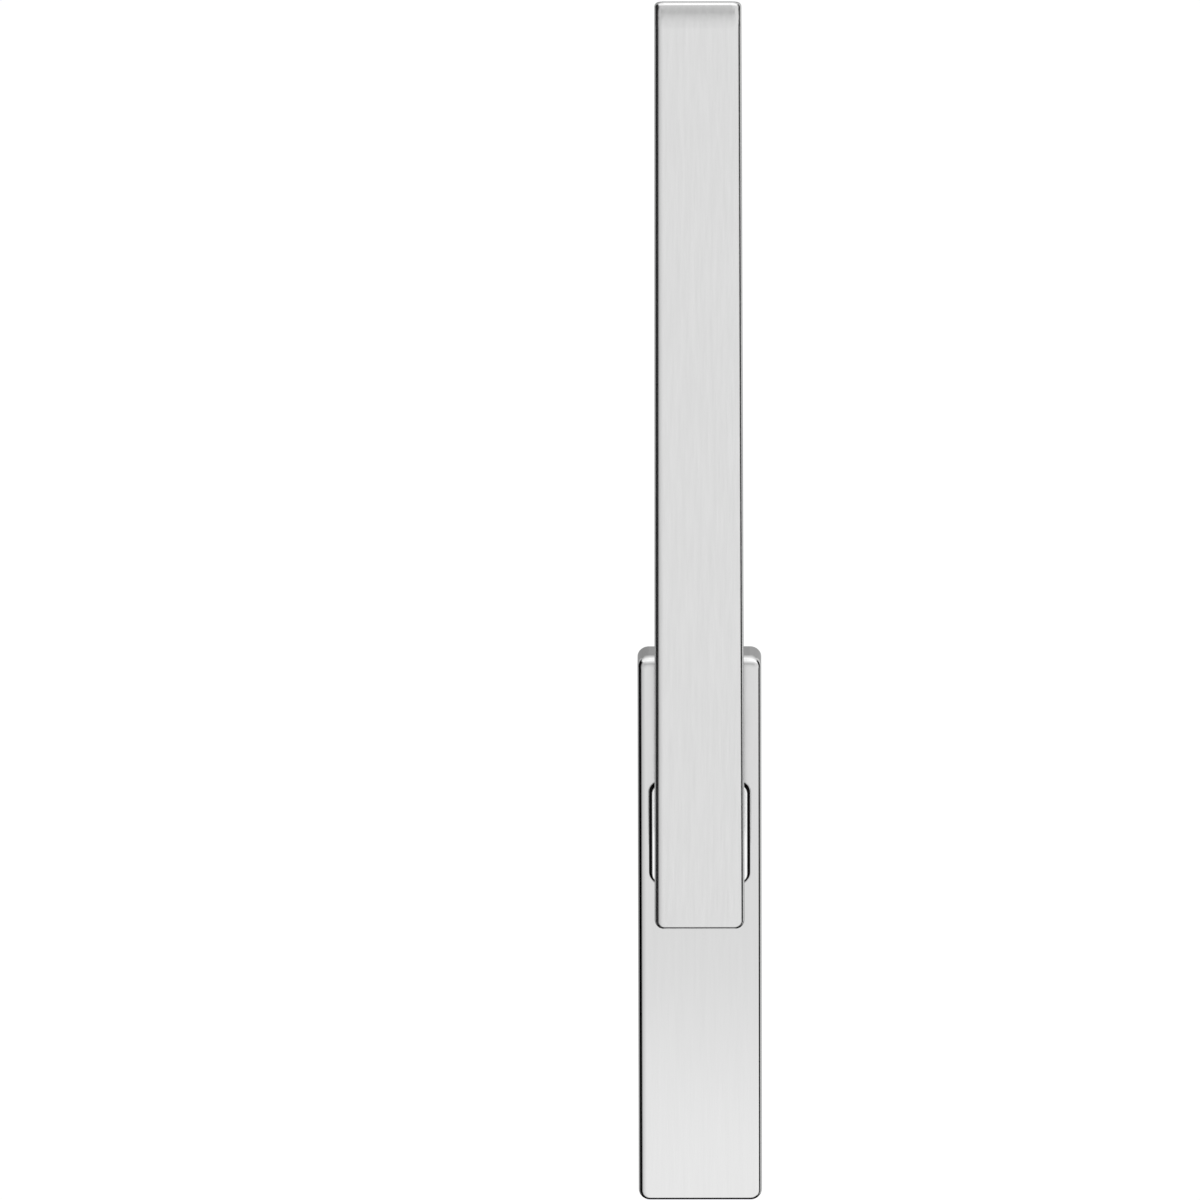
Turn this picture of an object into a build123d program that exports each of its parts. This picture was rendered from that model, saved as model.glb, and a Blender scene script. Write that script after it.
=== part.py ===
from build123d import *
from math import radians, sin
import os

# Lift-and-slide door handle: a long flat lever on a long backplate.
# Millimetres. +Z is up, the door's face is the plane Y = 0 and the room is on the -Y side.
# The origin is where the spindle's axis meets the door's face.
# A depth is a distance from the door's face towards the room.

# Cover plate
cover_above_axis = 65.4
cover_below_axis = 140.4
cover_depth = 9.5
cover_wall = 1.5
cover_corner_radius = 3.8
cover_edge_radius = 3.0
opening_edge_radius = 0.5
opening_side_land = 0.45
pry_notch_width = 12.0
pry_notch_depth = 1.2
catch_height = 0.35
catch_rise = 0.8
catch_depth = 1.6

# Collar round the neck
collar_width = 32.1
collar_height = 37.6
collar_corner_radius = 3.7
collar_proud = 1.2
collar_wall = 1.4
collar_edge_radius = 0.4
collar_gap = 0.75
collar_flange_reach = 1.6
collar_flange_thickness = 0.55

# Lever: a tapered bar, a square neck and a round journal
bar_width_foot = 30.2
bar_width_tip = 28.9
bar_thickness = 9.0
bar_front_depth = 49.8
bar_above_axis = 330.1
bar_below_axis = 16.9
bar_foot_corner_radius = 3.3
bar_front_edge_radius = 3.2
bar_back_edge_radius = 1.6
tip_curl_radius = 15.5
tip_curl_degrees = 35.0
tip_edge_radius = 1.4
neck_width = 23.0
neck_round_radius = 11.0
neck_corner_radius = 4.0
neck_round_length = 4.5
neck_flare_length = 9.0
neck_root_radius = 1.7
journal_radius = 10.0
journal_end_depth = 0.4
journal_end_chamfer = 0.4
journal_flat_distance = 9.0

# Spindle and its grub screw
spindle_side = 10.0
spindle_edge_chamfer = 0.6
spindle_end_chamfer = 0.5
spindle_into_door = 48.0
spindle_clearance = 0.08
spindle_engagement = 30.0
grub_radius = 3.0
grub_length = 5.6
grub_socket_width = 3.0
grub_socket_depth = 2.2
grub_point_radius = 1.6
grub_point_length = 1.0
grub_depth = 24.0
thread_clearance = 0.05

# Base plate
plate_side_clearance = 0.5
plate_end_clearance = 1.6
plate_front_gap = 0.6
plate_wall = 2.0
plate_floor = 2.2
plate_corner_radius = 3.0
rib_thickness = 1.6
rib_spacing = 18.0
hub_block_height = 36.0
hub_radius = 13.5
hub_top_gap = 2.0
recess_radius = 15.5
recess_depth = 4.8
stop_block_gap = 0.6
web_overlap = 0.5

# Fixing screws and their washers
fixing_spacing = 80.0
screw_radius = 3.0
screw_waist_radius = 2.65
screw_into_door = 58.0
screw_head_radius = 5.25
screw_head_height = 3.2
screw_head_round = 2.4
screw_socket_width = 4.0
screw_socket_depth = 2.0
screw_point_chamfer = 1.0
screw_hole_radius = 3.3
screw_cup_radius = 7.2
screw_cup_wall = 1.5
washer_radius = 6.2
washer_thickness = 1.0

# Gasket
gasket_thickness = 0.8
gasket_inset = 0.4

# Bearing bush and slide ring
running_clearance = 0.06
bush_wall = 1.5
bush_flange_thickness = 0.9
bush_flange_radius = 13.2
ring_lip_thickness = 0.5
ring_wall = 1.3
ring_lip_reach = 0.8
ring_proud = 0.4
stack_gap = 0.1

# Washers and ring behind the base plate
stop_washer_thickness = 1.2
stop_washer_radius = 13.0
stop_lug_reach = 2.2
stop_lug_degrees = 30.0
stop_gap_degrees = 1.5
turn_degrees = 180.0
spring_washer_gauge = 0.5
spring_washer_height = 1.35
spring_washer_radius = 13.0
spring_washer_bore_radius = 10.3
retaining_gauge = 1.2
retaining_groove_depth = 0.5
retaining_radius = 12.4
retaining_ear_radius = 1.75
retaining_ear_hole_radius = 0.8
retaining_ear_spread = 3.6

# Cover clips
clip_gauge = 0.4
clip_width = 9.0
clip_leg = 4.2
clip_bulge = 0.5
clip_bulge_start = 1.4
clip_seat = 0.5
clip_seat_gap = 0.05
clip_side_gap = 0.3
clip_bend_radius = 0.35

# Places that follow from the sizes above. Beside its opening the cover has a narrow flat
# land and then its rolled edge.
opening_width = collar_width + 2 * collar_gap
opening_height = collar_height + 2 * collar_gap
opening_corner_radius = collar_corner_radius + collar_gap
cover_side_strip = opening_edge_radius + opening_side_land + cover_edge_radius
cover_width = opening_width + 2 * cover_side_strip
cover_height = cover_above_axis + cover_below_axis
cover_centre = (cover_above_axis - cover_below_axis) / 2
cover_inner_depth = cover_depth - cover_wall
cover_inner_half_width = cover_width / 2 - cover_wall

plate_back_depth = gasket_thickness
plate_front_depth = cover_inner_depth - plate_front_gap
plate_width = cover_width - 2 * (cover_wall + plate_side_clearance)
plate_height = cover_height - 2 * (cover_wall + plate_end_clearance)
plate_floor_depth = plate_back_depth + plate_floor
plate_half_width = plate_width / 2

# Ribs lie evenly about the plate's centre, and a clip sits halfway between the last two.
rib_count = int(plate_height // rib_spacing) + 1
clip_upper_height = cover_centre + rib_spacing * (rib_count - 2) / 2
clip_lower_height = cover_centre - rib_spacing * (rib_count - 2) / 2

recess_floor_depth = plate_back_depth + recess_depth
screw_seat_depth = plate_floor_depth + washer_thickness
clip_seat_depth = plate_front_depth - clip_leg - clip_side_gap
stop_block_radius = stop_washer_radius + stop_block_gap
collar_front_depth = cover_depth + collar_proud
hub_top_depth = collar_front_depth - hub_top_gap
bush_front_depth = hub_top_depth + bush_flange_thickness
shoulder_depth = bush_front_depth + stack_gap
ring_lip_front_depth = shoulder_depth + ring_lip_thickness
ring_bore_radius = neck_round_radius + running_clearance
ring_outer_radius = ring_bore_radius + ring_wall
ring_lip_radius = ring_outer_radius + ring_lip_reach
bush_bore_radius = journal_radius + running_clearance
bush_outer_radius = bush_bore_radius + bush_wall
bar_back_depth = bar_front_depth - bar_thickness
bar_middle_depth = bar_front_depth - bar_thickness / 2
neck_corner_reach = neck_width / 2**0.5
spindle_bore_side = spindle_side + 2 * spindle_clearance

stop_washer_front_depth = recess_floor_depth - stack_gap
stop_washer_back_depth = stop_washer_front_depth - stop_washer_thickness
spring_washer_front_depth = stop_washer_back_depth - stack_gap
spring_washer_back_depth = spring_washer_front_depth - spring_washer_height
retaining_front_depth = spring_washer_back_depth - stack_gap
retaining_back_depth = retaining_front_depth - retaining_gauge
retaining_inner_radius = journal_radius - retaining_groove_depth + thread_clearance


def face_plane(depth, height=0.0):
    """A plane parallel to the door's face, facing the room: its X is X and its Y is Z."""
    return Plane(origin=(0, -depth, height), x_dir=(1, 0, 0), z_dir=(0, -1, 0))


def ring_profile(bore_radius, outer_radius, back_depth, front_depth):
    """Half section of a ring about the spindle's axis, for a sketch on Plane.XY."""
    with Locations(((bore_radius + outer_radius) / 2, -(back_depth + front_depth) / 2)):
        Rectangle(outer_radius - bore_radius, front_depth - back_depth)


os.makedirs("parts", exist_ok=True)

# Cover plate: a shell open at the back, with an opening for the collar,
# catches inside its long walls for the clips, and a notch at the foot to prise it off.
with BuildPart() as cover_plate:
    with BuildSketch(face_plane(0, cover_centre)):
        RectangleRounded(cover_width, cover_height, cover_corner_radius)
    extrude(amount=cover_depth)
    front_face = cover_plate.faces().sort_by(Axis.Y)[0]
    fillet(front_face.edges(), radius=cover_edge_radius)
    back_face = cover_plate.faces().sort_by(Axis.Y)[-1]
    offset(amount=-cover_wall, openings=back_face)
    with BuildSketch(face_plane(cover_inner_depth)):
        RectangleRounded(opening_width, opening_height, opening_corner_radius)
    extrude(amount=cover_wall, mode=Mode.SUBTRACT)
    front_face = cover_plate.faces().filter_by(Axis.Y).sort_by(Axis.Y)[0]
    fillet(front_face.inner_wires()[0].edges(), radius=opening_edge_radius)
    for side in (-1, 1):
        for clip_height in (clip_upper_height, clip_lower_height):
            with BuildSketch(face_plane(catch_depth, clip_height)):
                with Locations((side * (cover_inner_half_width - catch_height / 2), 0)):
                    Rectangle(catch_height, clip_width)
            extrude(amount=catch_rise)
    with BuildSketch(face_plane(0, -cover_below_axis)):
        Rectangle(pry_notch_width, 2 * cover_wall)
    extrude(amount=pry_notch_depth, mode=Mode.SUBTRACT)
cover_plate.part.label = "cover_plate"
export_step(cover_plate.part, "parts/cover_plate.step")

# Neck collar: a drawn shell that stands proud of the cover, with a flange held under it.
with BuildPart() as neck_collar:
    with BuildSketch(face_plane(plate_front_depth)):
        RectangleRounded(collar_width, collar_height, collar_corner_radius)
    extrude(amount=collar_front_depth - plate_front_depth)
    front_face = neck_collar.faces().sort_by(Axis.Y)[0]
    fillet(front_face.edges(), radius=collar_edge_radius)
    with BuildSketch(face_plane(plate_front_depth)):
        RectangleRounded(
            collar_width + 2 * collar_flange_reach,
            collar_height + 2 * collar_flange_reach,
            collar_corner_radius + collar_flange_reach,
        )
    extrude(amount=collar_flange_thickness)
    with BuildSketch(face_plane(plate_front_depth)):
        RectangleRounded(
            collar_width - 2 * collar_wall,
            collar_height - 2 * collar_wall,
            collar_corner_radius - collar_wall,
        )
    extrude(amount=shoulder_depth - plate_front_depth, mode=Mode.SUBTRACT)
    with BuildSketch(face_plane(shoulder_depth)):
        Circle(ring_lip_radius + running_clearance)
    extrude(amount=ring_lip_thickness + running_clearance, mode=Mode.SUBTRACT)
    with BuildSketch(face_plane(shoulder_depth)):
        Circle(ring_outer_radius + running_clearance)
    extrude(amount=collar_front_depth - shoulder_depth, mode=Mode.SUBTRACT)
neck_collar.part.label = "neck_collar"
export_step(neck_collar.part, "parts/neck_collar.step")

# Slide ring: a lipped plastic ring between the collar and the neck.
with BuildPart() as slide_ring:
    with BuildSketch(Plane.XY):
        ring_profile(ring_bore_radius, ring_lip_radius, shoulder_depth, ring_lip_front_depth)
        ring_profile(
            ring_bore_radius,
            ring_outer_radius,
            shoulder_depth,
            collar_front_depth + ring_proud,
        )
    revolve(axis=Axis.Y)
slide_ring.part.label = "slide_ring"
export_step(slide_ring.part, "parts/slide_ring.step")

# Bearing bush: a flanged plastic bush in the base plate's hub.
with BuildPart() as bearing_bush:
    with BuildSketch(Plane.XY):
        ring_profile(
            bush_bore_radius,
            bush_outer_radius,
            recess_floor_depth + stack_gap,
            bush_front_depth,
        )
        ring_profile(bush_bore_radius, bush_flange_radius, hub_top_depth, bush_front_depth)
    revolve(axis=Axis.Y)
bearing_bush.part.label = "bearing_bush"
export_step(bearing_bush.part, "parts/bearing_bush.step")

# Base plate: a die-cast tray with cross ribs, a hub, two screw cups, seats for the clips,
# and a recess at the back whose stop block ends the lever's turn.
free_degrees = turn_degrees + stop_lug_degrees + 2 * stop_gap_degrees
block_degrees = 360 - free_degrees
with BuildPart() as base_plate:
    with BuildSketch(face_plane(plate_back_depth, cover_centre)):
        RectangleRounded(plate_width, plate_height, plate_corner_radius)
    extrude(amount=plate_front_depth - plate_back_depth)
    with BuildSketch(face_plane(plate_floor_depth)):
        with Locations((0, cover_centre)):
            RectangleRounded(
                plate_width - 2 * plate_wall,
                plate_height - 2 * plate_wall,
                plate_corner_radius - plate_wall,
            )
            with GridLocations(0, rib_spacing, 1, rib_count):
                Rectangle(plate_width, rib_thickness, mode=Mode.SUBTRACT)
        Rectangle(plate_width, hub_block_height, mode=Mode.SUBTRACT)
        with GridLocations(0, fixing_spacing, 1, 2):
            Circle(screw_cup_radius + screw_cup_wall, mode=Mode.SUBTRACT)
    extrude(amount=plate_front_depth - plate_floor_depth, mode=Mode.SUBTRACT)
    with BuildSketch(face_plane(plate_floor_depth)):
        with GridLocations(0, fixing_spacing, 1, 2):
            Circle(screw_cup_radius)
    extrude(amount=plate_front_depth - plate_floor_depth, mode=Mode.SUBTRACT)
    with BuildSketch(face_plane(plate_back_depth)):
        with GridLocations(0, fixing_spacing, 1, 2):
            Circle(screw_hole_radius)
    extrude(amount=plate_floor, mode=Mode.SUBTRACT)
    with BuildSketch(face_plane(plate_front_depth)):
        Circle(hub_radius)
    extrude(amount=hub_top_depth - plate_front_depth)
    with BuildSketch(face_plane(plate_back_depth)):
        Circle(recess_radius)
        with BuildLine():
            block_start = 270 - block_degrees / 2
            outer_arc = CenterArc((0, 0), recess_radius + web_overlap, block_start, block_degrees)
            inner_arc = CenterArc((0, 0), stop_block_radius, block_start, block_degrees)
            Line(outer_arc @ 0, inner_arc @ 0)
            Line(outer_arc @ 1, inner_arc @ 1)
        make_face(mode=Mode.SUBTRACT)
    extrude(amount=recess_depth, mode=Mode.SUBTRACT)
    with BuildSketch(face_plane(recess_floor_depth)):
        Circle(bush_outer_radius + running_clearance)
    extrude(amount=hub_top_depth - recess_floor_depth, mode=Mode.SUBTRACT)
    for clip_height in (clip_upper_height, clip_lower_height):
        with BuildSketch(face_plane(clip_seat_depth, clip_height)):
            with GridLocations(plate_width, 0, 2, 1):
                Rectangle(2 * clip_seat, clip_width + 2 * clip_side_gap)
        extrude(amount=plate_front_depth - clip_seat_depth, mode=Mode.SUBTRACT)
base_plate.part.label = "base_plate"
export_step(base_plate.part, "parts/base_plate.step")

# Gasket: a thin foam sheet with holes for the recess and the screws.
with BuildPart() as gasket:
    with BuildSketch(face_plane(0)):
        with Locations((0, cover_centre)):
            RectangleRounded(
                plate_width - 2 * gasket_inset,
                plate_height - 2 * gasket_inset,
                plate_corner_radius - gasket_inset,
            )
        Circle(recess_radius, mode=Mode.SUBTRACT)
        with GridLocations(0, fixing_spacing, 1, 2):
            Circle(screw_hole_radius, mode=Mode.SUBTRACT)
    extrude(amount=gasket_thickness)
gasket.part.label = "gasket"
export_step(gasket.part, "parts/gasket.step")

# Fixing screws, button headed with a hexagon socket, and the washers under their heads.
for place, height in (("upper", fixing_spacing / 2), ("lower", -fixing_spacing / 2)):
    with BuildPart() as screw_washer:
        with BuildSketch(face_plane(plate_floor_depth, height)):
            Circle(washer_radius)
            Circle(screw_hole_radius, mode=Mode.SUBTRACT)
        extrude(amount=washer_thickness)
    screw_washer.part.label = f"screw_washer_{place}"
    export_step(screw_washer.part, f"parts/screw_washer_{place}.step")

    with BuildPart() as fixing_screw:
        with BuildSketch(face_plane(screw_seat_depth, height)):
            Circle(screw_head_radius)
        extrude(amount=screw_head_height)
        fillet(fixing_screw.edges().sort_by(Axis.Y)[0], radius=screw_head_round)
        with BuildSketch(face_plane(0, height)):
            Circle(screw_waist_radius)
        extrude(amount=screw_seat_depth)
        with BuildSketch(face_plane(0, height)):
            Circle(screw_radius)
        extrude(amount=-screw_into_door)
        chamfer(fixing_screw.edges().sort_by(Axis.Y)[-1], length=screw_point_chamfer)
        with BuildSketch(face_plane(screw_seat_depth + screw_head_height, height)):
            RegularPolygon(screw_socket_width / 2, side_count=6, major_radius=False)
        extrude(amount=-screw_socket_depth, mode=Mode.SUBTRACT)
    fixing_screw.part.label = f"fixing_screw_{place}"
    export_step(fixing_screw.part, f"parts/fixing_screw_{place}.step")

# Cover clips: bent spring steel over the base plate's long walls, with a bulge that
# springs out under the cover's catch.
clip_line_gap = clip_gauge / 2 + clip_seat_gap
for place, height in (("upper", clip_upper_height), ("lower", clip_lower_height)):
    for hand, side in (("left", -1), ("right", 1)):
        leg_inside = side * (plate_half_width - plate_wall - clip_line_gap)
        leg_outside = side * (plate_half_width - clip_seat + clip_line_gap)
        bulge_outside = leg_outside + side * clip_bulge
        bridge = -(plate_front_depth + clip_line_gap)
        with BuildPart() as cover_clip:
            with BuildSketch(Plane.XY.offset(height)):
                with BuildLine():
                    FilletPolyline(
                        (leg_inside, bridge + clip_leg),
                        (leg_inside, bridge),
                        (leg_outside, bridge),
                        (leg_outside, bridge + clip_bulge_start),
                        (bulge_outside, bridge + (clip_bulge_start + clip_leg) / 2),
                        (leg_outside, bridge + clip_leg),
                        radius=clip_bend_radius,
                    )
                trace(line_width=clip_gauge)
            extrude(amount=clip_width / 2, both=True)
        cover_clip.part.label = f"cover_clip_{place}_{hand}"
        export_step(cover_clip.part, f"parts/cover_clip_{place}_{hand}.step")

# Neck: a square bar turned down to a round with a smooth flare.
with BuildPart() as neck:
    with BuildSketch(face_plane(shoulder_depth)):
        RectangleRounded(neck_width, neck_width, neck_corner_radius)
    extrude(amount=bar_back_depth - shoulder_depth)
    with BuildSketch(Plane.XY):
        with BuildLine():
            flare_start = shoulder_depth + neck_round_length
            flare_end = flare_start + neck_flare_length
            flare_middle = (flare_start + flare_end) / 2
            Line((0, -shoulder_depth), (neck_round_radius, -shoulder_depth))
            Line((neck_round_radius, -shoulder_depth), (neck_round_radius, -flare_start))
            Bezier(
                (neck_round_radius, -flare_start),
                (neck_round_radius, -flare_middle),
                (neck_corner_reach, -flare_middle),
                (neck_corner_reach, -flare_end),
            )
            Line((neck_corner_reach, -flare_end), (neck_corner_reach, -bar_front_depth))
            Line((neck_corner_reach, -bar_front_depth), (0, -bar_front_depth))
            Line((0, -bar_front_depth), (0, -shoulder_depth))
        make_face()
    revolve(axis=Axis.Y, mode=Mode.INTERSECT)

# Lever: the tapered bar whose tip curls back towards the door, the neck, and the journal
# that turns in the bush, with a groove, a flat for the stop washer, the spindle's square
# bore and the grub screw's hole.
with BuildPart() as lever:
    with BuildSketch(Plane(origin=(0, 0, 0), x_dir=(0, -1, 0), z_dir=(-1, 0, 0))):
        with BuildLine():
            curl_start = bar_above_axis - tip_curl_radius * sin(radians(tip_curl_degrees))
            curl_centre = (bar_front_depth - tip_curl_radius, curl_start)
            front_curl = CenterArc(curl_centre, tip_curl_radius, 0, tip_curl_degrees)
            back_curl = CenterArc(
                curl_centre, tip_curl_radius - bar_thickness, 0, tip_curl_degrees
            )
            Line(front_curl @ 1, back_curl @ 1)
            Polyline(
                front_curl @ 0,
                (bar_front_depth, -bar_below_axis),
                (bar_back_depth, -bar_below_axis),
                back_curl @ 0,
            )
        make_face()
    extrude(amount=bar_width_foot, both=True)
    with BuildSketch(face_plane(0)) as bar_outline:
        with BuildLine():
            Polyline(
                (-bar_width_foot / 2, -bar_below_axis),
                (bar_width_foot / 2, -bar_below_axis),
                (bar_width_tip / 2, bar_above_axis),
                (-bar_width_tip / 2, bar_above_axis),
                close=True,
            )
        make_face()
        fillet(bar_outline.vertices().group_by(Axis.Y)[0], radius=bar_foot_corner_radius)
    extrude(amount=bar_front_depth, mode=Mode.INTERSECT)
    for in_front, rim_radius in ((True, bar_front_edge_radius), (False, bar_back_edge_radius)):
        tip_edges = lever.faces().sort_by(Axis.Z)[-1].edges()
        cross_edges = lever.edges().filter_by(Axis.Y)
        seams = lever.edges().filter_by(Axis.X).filter_by(lambda edge: edge.center().Z > 0)
        rims = lever.edges() - tip_edges - cross_edges - seams
        rim = rims.filter_by(lambda edge: (-edge.center().Y > bar_middle_depth) == in_front)
        fillet(rim, radius=rim_radius)
    fillet(lever.faces().sort_by(Axis.Z)[-1].edges(), radius=tip_edge_radius)
    add(neck.part)
    root_edges = lever.edges().filter_by(
        lambda edge: abs(edge.center().Y + bar_back_depth) < stack_gap
        and edge.length < neck_width
        and abs(edge.center().X) < neck_width / 2 + stack_gap
        and abs(edge.center().Z) < neck_width / 2 + stack_gap
    )
    fillet(root_edges, radius=neck_root_radius)
    with BuildSketch(face_plane(journal_end_depth)):
        Circle(journal_radius)
    extrude(amount=shoulder_depth - journal_end_depth)
    chamfer(lever.edges().sort_by(Axis.Y)[-1], length=journal_end_chamfer)
    with BuildSketch(Plane.XY):
        ring_profile(
            journal_radius - retaining_groove_depth,
            journal_radius + retaining_groove_depth,
            retaining_back_depth - thread_clearance,
            retaining_front_depth + thread_clearance,
        )
    revolve(axis=Axis.Y, mode=Mode.SUBTRACT)
    with BuildSketch(face_plane(journal_end_depth)):
        with Locations((0, -journal_flat_distance - journal_radius / 2)):
            Rectangle(2 * journal_radius, journal_radius)
    extrude(amount=recess_floor_depth - journal_end_depth, mode=Mode.SUBTRACT)
    with BuildSketch(face_plane(journal_end_depth)):
        Rectangle(spindle_bore_side, spindle_bore_side)
    extrude(amount=spindle_engagement + stack_gap, mode=Mode.SUBTRACT)
    with BuildSketch(Plane((0, -grub_depth, -neck_width))):
        Circle(grub_radius + thread_clearance)
    extrude(amount=neck_width, mode=Mode.SUBTRACT)
lever.part.label = "lever"
export_step(lever.part, "parts/lever.step")

# Spindle: a square steel bar, chamfered at both ends.
with BuildPart() as spindle:
    with BuildSketch(face_plane(-spindle_into_door)) as spindle_section:
        Rectangle(spindle_side, spindle_side)
        chamfer(spindle_section.vertices(), length=spindle_edge_chamfer)
    extrude(amount=spindle_into_door + journal_end_depth + spindle_engagement)
    ends = spindle.faces().filter_by(Axis.Y)
    chamfer(ends.edges(), length=spindle_end_chamfer)
spindle.part.label = "spindle"
export_step(spindle.part, "parts/spindle.step")

# Grub screw: headless, with a flat point on the spindle and a hexagon socket below.
grub_top = -spindle_side / 2
with BuildPart() as grub_screw:
    with BuildSketch(Plane((0, -grub_depth, grub_top - grub_length))):
        Circle(grub_radius)
    extrude(amount=grub_length - grub_point_length)
    with BuildSketch(Plane((0, -grub_depth, grub_top - grub_point_length))):
        Circle(grub_point_radius)
    extrude(amount=grub_point_length)
    with BuildSketch(Plane((0, -grub_depth, grub_top - grub_length))):
        RegularPolygon(grub_socket_width / 2, side_count=6, major_radius=False)
    extrude(amount=grub_socket_depth, mode=Mode.SUBTRACT)
grub_screw.part.label = "grub_screw"
export_step(grub_screw.part, "parts/grub_screw.step")

# Stop washer: keyed to the journal's flat, with one lug that swings between the ends of
# the base plate's stop block.
with BuildPart() as stop_washer:
    with BuildSketch(face_plane(stop_washer_back_depth)):
        Circle(stop_washer_radius)
        with BuildLine():
            lug_start = 180 - stop_lug_degrees / 2
            lug_root_radius = (journal_radius + stop_washer_radius) / 2
            lug_arc = CenterArc(
                (0, 0), stop_washer_radius + stop_lug_reach, lug_start, stop_lug_degrees
            )
            root_arc = CenterArc((0, 0), lug_root_radius, lug_start, stop_lug_degrees)
            Line(lug_arc @ 0, root_arc @ 0)
            Line(lug_arc @ 1, root_arc @ 1)
        make_face()
    extrude(amount=stop_washer_thickness)
    with BuildSketch(face_plane(stop_washer_back_depth)):
        Circle(journal_radius + running_clearance)
        with Locations((0, -journal_flat_distance - running_clearance - journal_radius / 2)):
            Rectangle(3 * journal_radius, journal_radius, mode=Mode.SUBTRACT)
    extrude(amount=stop_washer_thickness, mode=Mode.SUBTRACT)
stop_washer.part.label = "stop_washer"
export_step(stop_washer.part, "parts/stop_washer.step")

# Spring washer: a shallow cone.
with BuildPart() as spring_washer:
    with BuildSketch(Plane.XY):
        with BuildLine():
            Polyline(
                (spring_washer_bore_radius, -spring_washer_back_depth),
                (spring_washer_radius, -spring_washer_front_depth + spring_washer_gauge),
                (spring_washer_radius, -spring_washer_front_depth),
                (spring_washer_bore_radius, -spring_washer_back_depth - spring_washer_gauge),
                close=True,
            )
        make_face()
    revolve(axis=Axis.Y)
spring_washer.part.label = "spring_washer"
export_step(spring_washer.part, "parts/spring_washer.step")

# Retaining ring: open at the foot, with an eared hole each side of the opening.
ear_place_radius = retaining_inner_radius + retaining_ear_radius
ear_drop = (ear_place_radius**2 - retaining_ear_spread**2) ** 0.5
with BuildPart() as retaining_ring:
    with BuildSketch(face_plane(retaining_back_depth)):
        Circle(retaining_radius)
        Circle(retaining_inner_radius, mode=Mode.SUBTRACT)
        with Locations((0, -retaining_radius)):
            Rectangle(2 * retaining_ear_spread, retaining_radius, mode=Mode.SUBTRACT)
        with Locations((-retaining_ear_spread, -ear_drop), (retaining_ear_spread, -ear_drop)):
            Circle(retaining_ear_radius)
            Circle(retaining_ear_hole_radius, mode=Mode.SUBTRACT)
    extrude(amount=retaining_gauge)
retaining_ring.part.label = "retaining_ring"
export_step(retaining_ring.part, "parts/retaining_ring.step")
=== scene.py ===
import math

import bmesh
import bpy
from mathutils import Matrix, Vector


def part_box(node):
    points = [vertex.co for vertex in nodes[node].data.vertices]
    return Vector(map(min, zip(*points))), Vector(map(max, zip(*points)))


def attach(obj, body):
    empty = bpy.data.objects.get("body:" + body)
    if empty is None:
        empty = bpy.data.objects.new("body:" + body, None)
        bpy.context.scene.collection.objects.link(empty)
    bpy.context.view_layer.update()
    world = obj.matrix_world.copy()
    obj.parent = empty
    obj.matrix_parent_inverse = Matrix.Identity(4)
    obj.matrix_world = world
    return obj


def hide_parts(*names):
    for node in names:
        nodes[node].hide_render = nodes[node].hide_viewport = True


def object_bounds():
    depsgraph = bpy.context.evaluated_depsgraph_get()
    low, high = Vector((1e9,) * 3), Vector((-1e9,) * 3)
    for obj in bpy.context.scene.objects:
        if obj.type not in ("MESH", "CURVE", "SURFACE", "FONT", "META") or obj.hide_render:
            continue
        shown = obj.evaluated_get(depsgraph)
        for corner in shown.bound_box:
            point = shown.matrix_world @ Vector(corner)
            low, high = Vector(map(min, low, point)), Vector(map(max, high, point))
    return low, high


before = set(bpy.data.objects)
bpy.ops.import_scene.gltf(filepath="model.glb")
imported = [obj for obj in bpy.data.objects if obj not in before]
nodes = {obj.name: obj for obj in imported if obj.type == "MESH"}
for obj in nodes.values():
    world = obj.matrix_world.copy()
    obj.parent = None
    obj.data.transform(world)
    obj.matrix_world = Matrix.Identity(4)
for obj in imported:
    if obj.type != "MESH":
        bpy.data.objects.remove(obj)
cad_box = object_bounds()
scene = bpy.context.scene
scene.view_settings.view_transform = "Standard"


# The camera: a long lens in front of the handle, above it and a shade to its right, held
# a hair out of level, and far enough off that upright lines stay upright. The lever's tip
# and the plate's foot reach the frame's ends.
camera_rise = math.radians(27.0)
camera_swing = math.radians(0.25)
camera_roll = math.radians(-0.17)
camera_distance = 16.0
frame_width = 0.4033
frame_across = -0.0335
frame_up = 0.0738
film_width = 36.0

camera_data = bpy.data.cameras.new("long_lens")
camera_data.sensor_width = film_width
camera_data.lens = film_width * camera_distance / frame_width
camera_data.clip_end = 4 * camera_distance
camera = bpy.data.objects.new("camera", camera_data)
facing = (
    Matrix.Rotation(camera_swing, 4, "Z")
    @ Matrix.Rotation(math.pi / 2 - camera_rise, 4, "X")
    @ Matrix.Rotation(camera_roll, 4, "Z")
)
camera.matrix_world = facing @ Matrix.Translation((frame_across, frame_up, camera_distance))
scene.collection.objects.link(camera)
scene.camera = camera


# The studio's surroundings, seen by the lens as plain white. Metal sees a pale room with a
# wide soft light overhead and unlit gaps at both sides and below, which draw dark lines
# along polished edges. Matt pieces are lit by an even, dimmer room.
white = 1.0
room_for_matt = 0.34

# Brightness round the upright: 0 degrees is in front, 90 to the right.
round_the_side = (
    (-180, 0.8), (-136, 0.7), (-123, 0.35), (-116, 0.0), (-76, 0.0), (-70, 0.35),
    (-58, 0.72), (-40, 0.84), (-12, 1.0), (83, 1.0), (89, 0.0), (112, 0.0), (118, 0.9),
    (180, 1.0),
)

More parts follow.
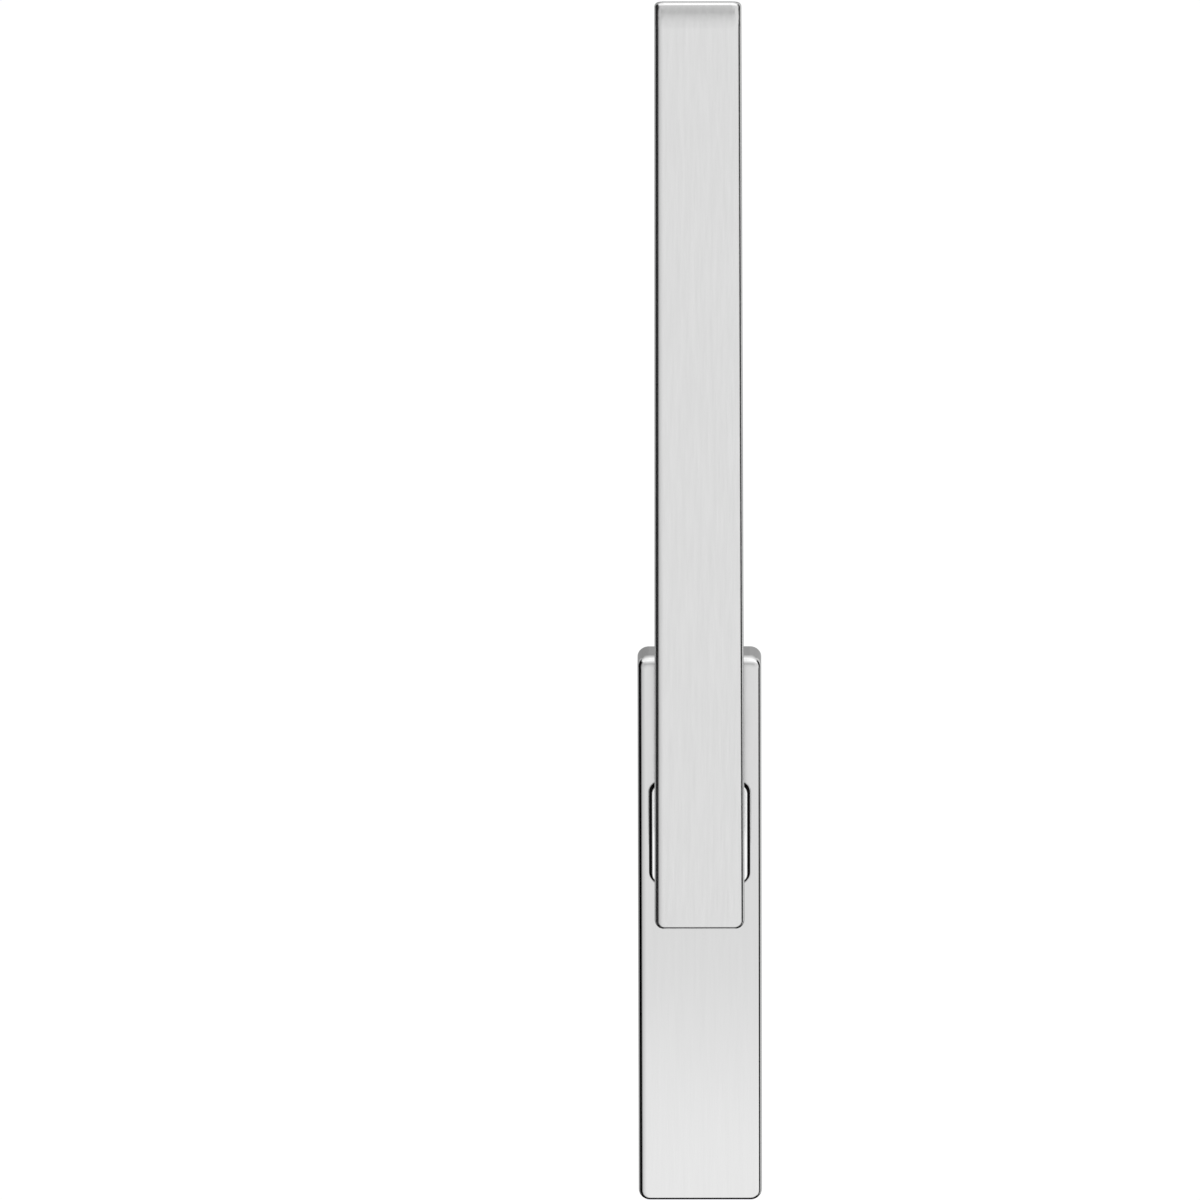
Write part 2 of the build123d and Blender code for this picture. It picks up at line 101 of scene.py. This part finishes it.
# Brightness over the top: 0 degrees is in front, 90 overhead, -90 straight below.
over_the_top = (
    (-180, 0.48), (-149, 0.48), (-141, 0.02), (-84, 0.02), (-76, 0.95), (-60, 1.0),
    (-27, 1.0), (-15, 0.94), (0, 0.84), (9, 0.74), (15, 0.62), (20, 0.64), (26, 0.8),
    (32, 0.94), (42, 1.02), (51, 1.35), (58, 1.55), (92, 1.5), (106, 1.15), (124, 0.9),
    (138, 0.7), (149, 0.48), (180, 0.48),
)

# The gaps at the sides fade out between two heights, and the gap below between two widths.
# Each is a part of a direction one unit long.
side_gap_top = math.sin(math.radians(20.0))
above_side_gap = math.sin(math.radians(35.0))
level_above_gap = 0.85
foot_gap_reach = 0.5
beside_foot_gap = 0.68
level_beside_gap = 0.9


def put(tree, kind, inputs=None, **settings):
    """A node of the tree with its settings; each input is given a value or linked."""
    made = tree.nodes.new(kind)
    for name, value in settings.items():
        setattr(made, name, value)
    for name, value in (inputs or {}).items():
        if isinstance(value, bpy.types.NodeSocket):
            tree.links.new(value, made.inputs[name])
        else:
            made.inputs[name].default_value = value
    return made


def put_math(tree, operation, *values):
    """The result of a sum on numbers or sockets."""
    return put(tree, "ShaderNodeMath", dict(enumerate(values)), operation=operation).outputs[0]


def put_range(tree, value, low, high, to_low=0.0, to_high=1.0):
    """A value eased from one range to another and held at its ends."""
    inputs = {0: value, 1: low, 2: high, 3: to_low, 4: to_high}
    return put(tree, "ShaderNodeMapRange", inputs, interpolation_type="SMOOTHSTEP").outputs[0]


def put_turn(tree, upward, forward, stops):
    """Brightness by the angle whose tangent is upward / forward; stops are in degrees."""
    turn = put_math(tree, "ARCTAN2", upward, forward)
    share = put_math(tree, "MULTIPLY_ADD", turn, 0.5 / math.pi, 0.5)
    ramp = put(tree, "ShaderNodeValToRGB", {0: share})
    elements = ramp.color_ramp.elements
    for degrees, level in stops[1:-1]:
        elements.new(degrees / 360 + 0.5).color = (level, level, level, 1)
    for end in (0, -1):
        level = stops[end][1]
        elements[end].color = (level, level, level, 1)
    return ramp.outputs[0]


world = bpy.data.worlds.new("studio")
world.use_nodes = True
scene.world = world
air = world.node_tree
air.nodes.clear()
direction = put(air, "ShaderNodeTexCoord").outputs["Generated"]
axes = put(air, "ShaderNodeSeparateXYZ", {0: direction}).outputs
to_front = put_math(air, "MULTIPLY", axes["Y"], -1.0)
side_level = put_turn(air, axes["X"], to_front, round_the_side)
above = put_range(air, axes["Z"], side_gap_top, above_side_gap, to_high=level_above_gap)
side_level = put_math(air, "MAXIMUM", side_level, above)
top_level = put_turn(air, axes["Z"], to_front, over_the_top)
sideways = put_math(air, "ABSOLUTE", axes["X"])
beside = put_range(air, sideways, foot_gap_reach, beside_foot_gap, to_high=level_beside_gap)
top_level = put_math(air, "MAXIMUM", top_level, beside)
room_for_metal = put_math(air, "MULTIPLY", side_level, top_level)
ray = put(air, "ShaderNodeLightPath").outputs
mirror_ray = put_math(air, "MAXIMUM", ray["Is Glossy Ray"], ray["Is Transmission Ray"])
seen = put(air, "ShaderNodeMix", {0: mirror_ray, 2: room_for_matt, 3: room_for_metal})
seen = put(air, "ShaderNodeMix", {0: ray["Is Camera Ray"], 2: seen.outputs[0], 3: white})
background = put(
    air, "ShaderNodeBackground", {"Color": (white, white, white, 1), "Strength": seen.outputs[0]}
)
put(air, "ShaderNodeOutputWorld", {0: background.outputs[0]})


# The floor: white paper well below the handle, which keeps a soft shadow and is seen from
# above only.
floor_drop = 0.12
floor_half = 9.0
floor_white = (0.9, 0.9, 0.9, 1)
floor_glow = 0.8
glow_strength = 1.16

floor_height = cad_box[0].z - floor_drop
floor_mesh = bpy.data.meshes.new("floor")
floor_mesh.from_pydata(
    [
        (x * floor_half, y * floor_half, floor_height)
        for x, y in ((-1, -1), (1, -1), (1, 1), (-1, 1))
    ],
    [],
    [(0, 1, 2, 3)],
)
floor = bpy.data.objects.new("floor", floor_mesh)
floor.visible_glossy = False
scene.collection.objects.link(floor)

paper = bpy.data.materials.new("white_paper")
paper.use_nodes = True
tree = paper.node_tree
tree.nodes.clear()
matt = put(tree, "ShaderNodeBsdfDiffuse", {"Color": floor_white})
glow = put(
    tree, "ShaderNodeEmission", {"Color": (white, white, white, 1), "Strength": glow_strength}
)
lens_ray = put(tree, "ShaderNodeLightPath").outputs["Is Camera Ray"]
glow_share = put_math(tree, "MULTIPLY", lens_ray, floor_glow)
sheet = put(tree, "ShaderNodeMixShader", {0: glow_share, 1: matt.outputs[0], 2: glow.outputs[0]})
clear = put(tree, "ShaderNodeBsdfTransparent")
under = put(tree, "ShaderNodeNewGeometry").outputs["Backfacing"]
sheet = put(tree, "ShaderNodeMixShader", {0: under, 1: sheet.outputs[0], 2: clear.outputs[0]})
put(tree, "ShaderNodeOutputMaterial", {0: sheet.outputs[0]})
floor.data.materials.append(paper)


# The lamps: a broad soft box overhead and a little forward, and a smaller one low in
# front. Each row gives a lamp's name, place, aim, side and power.
lamps = (
    ("overhead_box", (0.1, -0.45, 1.75), (0, 0, 0.08), 1.5, 11.0),
    ("front_box", (0.55, -1.9, 0.7), (0, 0, 0.08), 1.1, 9.0),
)
for name, place, aim, side, power in lamps:
    lamp_data = bpy.data.lights.new(name, "AREA")
    lamp_data.size = side
    lamp_data.energy = power
    lamp = bpy.data.objects.new(name, lamp_data)
    lamp.location = place
    lamp.rotation_euler = (Vector(aim) - Vector(place)).to_track_quat("-Z", "Y").to_euler()
    lamp.visible_glossy = False
    scene.collection.objects.link(lamp)


# The lever: one steel bar and neck, ground along its length on a belt and finished satin.
# The grain runs upright over bar, edges and neck alike, and a thin film of oil and
# handling takes the last depth from its dark reflections.
satin_grey = (0.732, 0.732, 0.732, 1)
satin_roughness = 0.16
satin_metal_share = 0.95
satin_bump = 0.0000008


def new_group(name, values, results):
    """A shader group with named values going in and named results coming out."""
    group = bpy.data.node_groups.new(name, "ShaderNodeTree")
    for label, kind, default in values:
        socket = group.interface.new_socket(label, in_out="INPUT", socket_type=kind)
        socket.default_value = default
    for label, kind in results:
        group.interface.new_socket(label, in_out="OUTPUT", socket_type=kind)
    return group, group.nodes.new("NodeGroupInput").outputs


finish_results = (
    ("Color", "NodeSocketColor"),
    ("Roughness", "NodeSocketFloat"),
    ("Height", "NodeSocketFloat"),
)


def put_tone(tree, colour, gain):
    """A colour made lighter or darker."""
    inputs = {0: colour, "Scale": gain}
    return put(tree, "ShaderNodeVectorMath", inputs, operation="SCALE").outputs[0]


def put_noise(tree, place, scale, detail, **others):
    """Noise of a scale given in waves to the metre."""
    inputs = {"Vector": place, "Scale": scale, "Detail": detail, **others}
    return put(tree, "ShaderNodeTexNoise", inputs).outputs[0]


def put_streaks(tree, place, width, length, detail):
    """Noise drawn out along the upright, in lines of that width and length."""
    across = put_math(tree, "DIVIDE", 1.0, width)
    along = put_math(tree, "DIVIDE", 1.0, length)
    scale = put(tree, "ShaderNodeCombineXYZ", {0: across, 1: across, 2: along}).outputs[0]
    drawn = put(tree, "ShaderNodeVectorMath", {0: place, 1: scale}, operation="MULTIPLY")
    return put_noise(tree, drawn.outputs[0], 1.0, detail, Roughness=0.6)


# Belt grain: fine scratches, broader soft bands, and slow clouds of wiping and handling.
# Below the foot's start the grain's colour grows towards its gain at the foot's height: painted
# light, brighter towards the foot.
scratch_share = 0.55
band_share = 0.45
cloud_scale = 28.0
cloud_warp = 0.6
cloud_share = 1.2

grain_group, given = new_group(
    "Belt Grain",
    (
        ("Color", "NodeSocketColor", satin_grey),
        ("Contrast", "NodeSocketFloat", 0.12),
        ("Roughness", "NodeSocketFloat", satin_roughness),
        ("Roughness Spread", "NodeSocketFloat", 0.08),
        ("Scratch Width", "NodeSocketFloat", 0.0002),
        ("Scratch Length", "NodeSocketFloat", 0.012),
        ("Band Width", "NodeSocketFloat", 0.0013),
        ("Band Length", "NodeSocketFloat", 0.022),
        ("Foot Height", "NodeSocketFloat", -0.13),
        ("Foot Start", "NodeSocketFloat", -0.03),
        ("Painted Foot Light", "NodeSocketFloat", 1.0),
    ),
    finish_results,
)
place = put(grain_group, "ShaderNodeTexCoord").outputs["Object"]
scratches = put_streaks(grain_group, place, given["Scratch Width"], given["Scratch Length"], 3.0)
bands = put_streaks(grain_group, place, given["Band Width"], given["Band Length"], 2.0)
clouds = put_noise(grain_group, place, cloud_scale, 2.0, Distortion=cloud_warp)
bands = put_math(grain_group, "MULTIPLY", bands, band_share)
grain = put_math(grain_group, "MULTIPLY_ADD", scratches, scratch_share, bands)
grain = put_math(grain_group, "MULTIPLY_ADD", grain, 2.0, -1.0)
gain = put_math(grain_group, "MULTIPLY_ADD", grain, given["Contrast"], 1.0)
height = put(grain_group, "ShaderNodeSeparateXYZ", {0: place}).outputs["Z"]
painted_foot_light = put_range(
    grain_group,
    height,
    given["Foot Start"],
    given["Foot Height"],
    to_low=1.0,
    to_high=given["Painted Foot Light"],
)
gain = put_math(grain_group, "MULTIPLY", gain, painted_foot_light)
tone = put_tone(grain_group, given["Color"], gain)
clouds = put_math(grain_group, "MULTIPLY_ADD", clouds, cloud_share, -cloud_share / 2)
uneven = put_math(grain_group, "ADD", grain, clouds)
rough = put_math(
    grain_group, "MULTIPLY_ADD", uneven, given["Roughness Spread"], given["Roughness"]
)
put(grain_group, "NodeGroupOutput", {"Color": tone, "Roughness": rough, "Height": scratches})


def new_finish(name, group, values, bump_depth=0.0, metallic=1.0):
    """A material whose colour and roughness come from a group, and its relief if it has one."""
    material = bpy.data.materials.new(name)
    material.use_nodes = True
    tree = material.node_tree
    shader = tree.nodes["Principled BSDF"]
    shader.inputs["Metallic"].default_value = metallic
    finish = put(tree, "ShaderNodeGroup", node_tree=group)
    for label, value in values.items():
        finish.inputs[label].default_value = value
    tree.links.new(finish.outputs["Color"], shader.inputs["Base Color"])
    tree.links.new(finish.outputs["Roughness"], shader.inputs["Roughness"])
    if bump_depth:
        bump = put(tree, "ShaderNodeBump", {"Height": finish.outputs["Height"]})
        bump.inputs["Distance"].default_value = bump_depth
        tree.links.new(bump.outputs[0], shader.inputs["Normal"])
    return material


def dress(material, *names):
    """Gives CAD pieces their material."""
    for name in names:
        for material_slot in nodes[name].material_slots:
            material_slot.material = material


satin_lever = new_finish(
    "satin_lever",
    grain_group,
    {"Color": satin_grey, "Roughness": satin_roughness},
    bump_depth=satin_bump,
    metallic=satin_metal_share,
)
dress(satin_lever, "lever")


# The cover plate: pressed steel sheet, ground along its length like the lever, with a
# rolled front edge. Painted shade darkens the narrow gap round the collar.
plate_bump = 0.0000006

satin_plate = new_finish(
    "satin_plate",
    grain_group,
    {
        "Color": (0.698, 0.698, 0.698, 1),
        "Contrast": 0.065,
        "Roughness": 0.11,
        "Band Width": 0.0024,
        "Band Length": 0.05,
        # painted light: the plate's colour brightens towards its foot
        "Painted Foot Light": 1.15,
    },
    bump_depth=plate_bump,
)
dress(satin_plate, "cover_plate")

# The painted shade of the gap reaches outwards from the collar's outline, which stands its
# flange's width inside the collar's box, and fades out sideways and towards the plate's front.
# Painted shade: near-black laid into the gap round the collar and on the plate's opening edge
# beside it, where shade falls.
painted_gap_shade_black = (0.006, 0.006, 0.006, 1)
painted_gap_shade_width = 0.00115
fade_width = 0.0004
collar_flange = 0.0016
collar_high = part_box("neck_collar")[1]
plate_front = -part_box("cover_plate")[0].y
collar_half_width = collar_high.x - collar_flange
collar_half_height = collar_high.z - collar_flange

painted_gap_shade_group, given = new_group(
    "Painted Gap Shade",
    (
        ("Color", "NodeSocketColor", satin_grey),
        ("Half Width", "NodeSocketFloat", collar_half_width),
        ("Half Height", "NodeSocketFloat", collar_half_height),
        ("Front", "NodeSocketFloat", plate_front),
        ("Painted Shade Width", "NodeSocketFloat", painted_gap_shade_width),
        ("Fade Width", "NodeSocketFloat", fade_width),
    ),
    (("Color", "NodeSocketColor"),),
)
place = put(painted_gap_shade_group, "ShaderNodeTexCoord").outputs["Object"]
axes = put(painted_gap_shade_group, "ShaderNodeSeparateXYZ", {0: place}).outputs
across = put_math(painted_gap_shade_group, "ABSOLUTE", axes["X"])
upward = put_math(painted_gap_shade_group, "ABSOLUTE", axes["Z"])
beside = put_math(painted_gap_shade_group, "SUBTRACT", across, given["Half Width"])
above = put_math(painted_gap_shade_group, "SUBTRACT", upward, given["Half Height"])
away = put_math(painted_gap_shade_group, "MAXIMUM", beside, above)
full_width = put_math(painted_gap_shade_group, "SUBTRACT", given["Painted Shade Width"], given["Fade Width"])
near = put_range(painted_gap_shade_group, away, given["Painted Shade Width"], full_width)
sunk = put_math(painted_gap_shade_group, "ADD", axes["Y"], given["Front"])
below = put_range(painted_gap_shade_group, sunk, 0.0, given["Fade Width"])
share = put_math(painted_gap_shade_group, "MULTIPLY", near, below)
tone = put(
    painted_gap_shade_group,
    "ShaderNodeMix",
    {"Factor": share, "A": given["Color"], "B": painted_gap_shade_black},
    data_type="RGBA",
)
put(painted_gap_shade_group, "NodeGroupOutput", {"Color": tone.outputs[2]})


def put_painted_gap_shade(material):
    """Passes a material's colour through the painted shade of the gap."""
    tree = material.node_tree
    shader = tree.nodes["Principled BSDF"]
    unshaded_colour = shader.inputs["Base Color"].links[0].from_socket
    painted_gap_shade_node = put(tree, "ShaderNodeGroup", node_tree=painted_gap_shade_group)
    tree.links.new(unshaded_colour, painted_gap_shade_node.inputs["Color"])
    tree.links.new(painted_gap_shade_node.outputs["Color"], shader.inputs["Base Color"])


# Painted shade in the gap round the collar, on the plate's opening edge and walls.
put_painted_gap_shade(satin_plate)


# The neck collar: a drawn steel shell, buffed bright, so that it stands out as a light rim
# against the satin plate. The same painted shade darkens its foot, down in the gap.
buffed_collar = new_finish(
    "buffed_collar",
    grain_group,
    {
        "Color": (0.97, 0.97, 0.97, 1),
        "Contrast": 0.02,
        "Roughness": 0.12,
        "Roughness Spread": 0.04,
        "Scratch Length": 0.003,
        "Band Length": 0.006,
    },
)
put_painted_gap_shade(buffed_collar)
dress(buffed_collar, "neck_collar")


# The slide ring and the bearing bush: black acetal turned on a lathe, with a faint sheen
# and fine tool marks round the spindle's axis.
acetal_bump = 0.000004
speckle_scale = 900.0

plastic_group, given = new_group(
    "Turned Plastic",
    (
        ("Color", "NodeSocketColor", (0.035, 0.035, 0.037, 1)),
        ("Mark Pitch", "NodeSocketFloat", 0.0002),
    ),
    finish_results,
)
place = put(plastic_group, "ShaderNodeTexCoord").outputs["Object"]
axes = put(plastic_group, "ShaderNodeSeparateXYZ", {0: place}).outputs
across_squared = put_math(plastic_group, "MULTIPLY", axes["X"], axes["X"])
squared = put_math(plastic_group, "MULTIPLY_ADD", axes["Z"], axes["Z"], across_squared)
reach = put_math(plastic_group, "SQRT", squared)
travel = put_math(plastic_group, "ADD", reach, axes["Y"])
turned = put_math(plastic_group, "MULTIPLY", travel, 2 * math.pi)
turned = put_math(plastic_group, "DIVIDE", turned, given["Mark Pitch"])
marks = put_math(plastic_group, "SINE", turned)
speckle = put_noise(plastic_group, place, speckle_scale, 3.0)
gain = put_math(plastic_group, "MULTIPLY_ADD", speckle, 0.5, 0.75)
tone = put_tone(plastic_group, given["Color"], gain)
rough = put_math(plastic_group, "MULTIPLY_ADD", speckle, 0.2, 0.32)
height = put_math(plastic_group, "MULTIPLY_ADD", marks, 0.5, speckle)
put(plastic_group, "NodeGroupOutput", {"Color": tone, "Roughness": rough, "Height": height})

acetal = new_finish("black_acetal", plastic_group, {}, bump_depth=acetal_bump, metallic=0.0)
dress(acetal, "slide_ring", "bearing_bush")


# The base plate: die-cast zinc alloy, left as cast, with a frosty mottle, and bright where
# its edges have been rubbed.
cast_bump = 0.00002
pit_scale = 2600.0
rub_unevenness = 0.06
rub_limit = 0.9
roughness_spread = 0.25
rubbed_smoother = 0.12

cast_group, given = new_group(
    "Rubbed Skin",
    (
        ("Color", "NodeSocketColor", (0.5, 0.5, 0.51, 1)),
        ("Bright Color", "NodeSocketColor", (0.72, 0.72, 0.73, 1)),
        ("Mottle Size", "NodeSocketFloat", 0.0022),
        ("Mottle", "NodeSocketFloat", 0.3),
        ("Roughness", "NodeSocketFloat", 0.45),
        ("Edge Width", "NodeSocketFloat", 0.0004),
    ),
    finish_results,
)
place = put(cast_group, "ShaderNodeTexCoord").outputs["Object"]
mottle_scale = put_math(cast_group, "DIVIDE", 1.0, given["Mottle Size"])
mottle = put_noise(cast_group, place, mottle_scale, 4.0)
pits = put_noise(cast_group, place, pit_scale, 2.0)
rounded = put(cast_group, "ShaderNodeBevel", {"Radius": given["Edge Width"]}, samples=4).outputs[0]
straight = put(cast_group, "ShaderNodeNewGeometry").outputs["Normal"]
alike = put(
    cast_group, "ShaderNodeVectorMath", {0: rounded, 1: straight}, operation="DOT_PRODUCT"
).outputs["Value"]
unevenness = put_math(cast_group, "MULTIPLY", mottle, rub_unevenness)
alike = put_math(cast_group, "ADD", alike, unevenness)
rubbed = put_range(cast_group, alike, 1.0, rub_limit)
centred = put_math(cast_group, "SUBTRACT", mottle, 0.5)
gain = put_math(cast_group, "MULTIPLY_ADD", centred, given["Mottle"], 1.0)
tone = put(
    cast_group,
    "ShaderNodeMix",
    {
        "Factor": rubbed,
        "A": put_tone(cast_group, given["Color"], gain),
        "B": given["Bright Color"],
    },
    data_type="RGBA",
)
rough = put_math(cast_group, "ADD", given["Roughness"], -rubbed_smoother)
rough = put_math(cast_group, "MULTIPLY_ADD", mottle, roughness_spread, rough)
rough = put_math(cast_group, "MULTIPLY_ADD", rubbed, -rubbed_smoother, rough)
put(cast_group, "NodeGroupOutput", {"Color": tone.outputs[2], "Roughness": rough, "Height": pits})

cast_alloy = new_finish("cast_zinc_alloy", cast_group, {}, bump_depth=cast_bump)
dress(cast_alloy, "base_plate")


# The gasket: black closed-cell foam, cut from sheet and held between base plate and door.
# Its cells show as fine pocks.
foam_dark = (0.028, 0.028, 0.029, 1)
foam_light = (0.07, 0.07, 0.07, 1)
cell_scale = 2600.0
cell_depth = 0.00006
patch_scale = 120.0

foam = bpy.data.materials.new("closed_cell_foam")
foam.use_nodes = True
tree = foam.node_tree
shader = tree.nodes["Principled BSDF"]
place = put(tree, "ShaderNodeTexCoord").outputs["Object"]
cells = put(tree, "ShaderNodeTexVoronoi", {"Vector": place, "Scale": cell_scale})
cells = cells.outputs["Distance"]
patches = put_noise(tree, place, patch_scale, 3.0)
shade = put(
    tree,
    "ShaderNodeMix",
    {"Factor": patches, "A": foam_dark, "B": foam_light},
    data_type="RGBA",
)
bump = put(tree, "ShaderNodeBump", {"Height": cells, "Distance": cell_depth})
tree.links.new(shade.outputs[2], shader.inputs["Base Color"])
tree.links.new(put_math(tree, "MULTIPLY_ADD", cells, 0.3, 0.7), shader.inputs["Roughness"])
tree.links.new(bump.outputs[0], shader.inputs["Normal"])
dress(foam, "gasket")


# The fixing screws: M6 button-head screws of zinc-plated steel with a hexagon socket. The
# thread is rolled over the whole length that reaches into the door.
screw_pitch = 0.001
screw_crest = 0.003
screw_root = 0.00243
screw_waist = 0.00265
screw_point_radius = 0.002
socket_half = 0.002
socket_depth = 0.002
head_height = 0.0032
head_rim = 0.00525
head_crown = 0.00285
crown_height = 0.0024
crown_steps = 8
facets = 48
rows_per_turn = 5
thread_form = (0.0, 0.0, 0.75, 1.0, 1.0)
weld_distance = 1e-7
sliver_length = 1e-8
sharp_angle = math.radians(32)
plated_bump = 0.000004

zinc = new_finish(
    "zinc_plate",
    cast_group,
    {
        "Color": (0.62, 0.64, 0.67, 1),
        "Bright Color": (0.8, 0.81, 0.83, 1),
        "Mottle Size": 0.0012,
        "Mottle": 0.22,
        "Roughness": 0.34,
        "Edge Width": 0.0002,
    },
    bump_depth=plated_bump,
)


def lathe(name, rings, middle):
    """A closed piece round the line x = 0, z = middle: rings of (y, radius) for each facet."""
    body = bmesh.new()
    angles = [2 * math.pi * j / facets for j in range(facets)]
    rows = []
    for ring in rings:
        row = []
        for (y, radius), angle in zip(ring, angles):
            x = radius * math.sin(angle)
            z = middle + radius * math.cos(angle)
            row.append(body.verts.new((x, y, z)))
        rows.append(row)
    for row, following in zip(rows, rows[1:]):
        for j in range(facets):
            k = (j + 1) % facets
            body.faces.new((row[j], row[k], following[k], following[j]))
    body.faces.new(reversed(rows[0]))
    body.faces.new(rows[-1])
    bmesh.ops.remove_doubles(body, verts=body.verts, dist=weld_distance)
    bmesh.ops.dissolve_degenerate(body, edges=body.edges, dist=sliver_length)
    bmesh.ops.recalc_face_normals(body, faces=body.faces)
    mesh = bpy.data.meshes.new(name)
    body.to_mesh(mesh)
    body.free()
    mesh.shade_smooth()
    mesh.set_sharp_from_angle(angle=sharp_angle)
    piece = bpy.data.objects.new(name, mesh)
    scene.collection.objects.link(piece)
    return piece


def round_ring(y, radius):
    """A round ring."""
    return [(y, radius)] * facets


def hexagon_ring(y, half_width):
    """A ring drawn on a hexagon, half_width from its flats."""
    ring = []
    for j in range(facets):
        off_flat = (360 * j / facets) % 60 - 30
        ring.append((y, half_width / math.cos(math.radians(off_flat))))
    return ring


def thread_rings(start, end):
    """Rings that climb one pitch a turn, held at both ends of the thread."""
    rings = []
    turns = math.ceil((end - start) / screw_pitch) + 1
    for row in range(-rows_per_turn, turns * rows_per_turn):
        depth_share = thread_form[row % rows_per_turn]
        ring = []
        for j in range(facets):
            y = start + (row / rows_per_turn + j / facets) * screw_pitch
            radius = screw_crest - depth_share * (screw_crest - screw_root)
            if y <= start:
                ring.append((start, screw_waist))
            elif y >= end:
                ring.append((end, screw_point_radius))
            else:
                at_start = screw_waist + (y - start)
                at_end = screw_point_radius + (end - y)
                ring.append((y, min(radius, at_start, at_end)))
        rings.append(ring)
    return rings


for place_name in ("upper", "lower"):
    low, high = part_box(f"fixing_screw_{place_name}")
    middle = (low.z + high.z) / 2
    head_front = low.y
    head_seat = low.y + head_height
    rings = [
        hexagon_ring(head_front + socket_depth, socket_half),
        hexagon_ring(head_front, socket_half),
    ]
    for step in range(crown_steps + 1):
        turn = math.pi / 2 * step / crown_steps
        y = head_front + crown_height * (1 - math.cos(turn))
        rings.append(round_ring(y, head_crown + (head_rim - head_crown) * math.sin(turn)))
    rings.append(round_ring(head_seat, head_rim))
    rings.append(round_ring(head_seat, screw_waist))
    rings += thread_rings(0.0, high.y)
    screw = lathe(f"threaded_screw_{place_name}", rings, middle)
    screw.data.materials.append(zinc)
    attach(screw, "mounting")
    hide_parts(f"fixing_screw_{place_name}")


# The washers under the screws: stamped steel, zinc plated like the screws, each trapped
# between a screw's head and the floor of its cup.
dress(zinc, "screw_washer_upper", "screw_washer_lower")


# The spindle: square steel bar, cold drawn, so its marks run along it. It slides into the
# lever's neck and is held there by the grub screw.
drawn_waves = (4200.0, 45.0, 4200.0)
drawn_bump = 0.000004
stain_scale = 160.0

bar_group, given = new_group(
    "Drawn Bar",
    (("Color", "NodeSocketColor", (0.6, 0.62, 0.65, 1)), ("Roughness", "NodeSocketFloat", 0.3)),
    finish_results,
)
place = put(bar_group, "ShaderNodeTexCoord").outputs["Object"]
drawn = put(bar_group, "ShaderNodeVectorMath", {0: place, 1: drawn_waves}, operation="MULTIPLY")
lines = put_noise(bar_group, drawn.outputs[0], 1.0, 3.0)
stains = put_noise(bar_group, place, stain_scale, 3.0)
gain = put_math(bar_group, "MULTIPLY_ADD", stains, 0.24, 0.79)
gain = put_math(bar_group, "MULTIPLY_ADD", lines, 0.18, gain)
tone = put_tone(bar_group, given["Color"], gain)
rough = put_math(bar_group, "ADD", given["Roughness"], -0.1)
rough = put_math(bar_group, "MULTIPLY_ADD", stains, 0.2, rough)
put(bar_group, "NodeGroupOutput", {"Color": tone, "Roughness": rough, "Height": lines})

drawn_steel = new_finish("drawn_steel", bar_group, {}, bump_depth=drawn_bump)
dress(drawn_steel, "spindle")


# The grub screw: hardened steel, blacked, turned into the neck from below until it bites
# on the spindle.
oxide_bump = 0.000004

black_oxide = new_finish(
    "black_oxide",
    cast_group,
    {
        "Color": (0.06, 0.06, 0.065, 1),
        "Bright Color": (0.3, 0.3, 0.31, 1),
        "Mottle Size": 0.0008,
        "Mottle": 0.5,
        "Roughness": 0.42,
        "Edge Width": 0.0001,
    },
    bump_depth=oxide_bump,
)
dress(black_oxide, "grub_screw")


# The clips, the stop washer, the spring washer and the retaining ring: spring steel,
# stamped and bent, then hardened and oiled dark.
scale_bump = 0.000005

spring_steel = new_finish(
    "oiled_spring_steel",
    cast_group,
    {
        "Color": (0.3, 0.29, 0.28, 1),
        "Bright Color": (0.55, 0.55, 0.56, 1),
        "Mottle Size": 0.003,
        "Mottle": 0.45,
        "Roughness": 0.36,
        "Edge Width": 0.00015,
    },
    bump_depth=scale_bump,
)
dress(
    spring_steel,
    "cover_clip_upper_left",
    "cover_clip_upper_right",
    "cover_clip_lower_left",
    "cover_clip_lower_right",
    "stop_washer",
    "spring_washer",
    "retaining_ring",
)
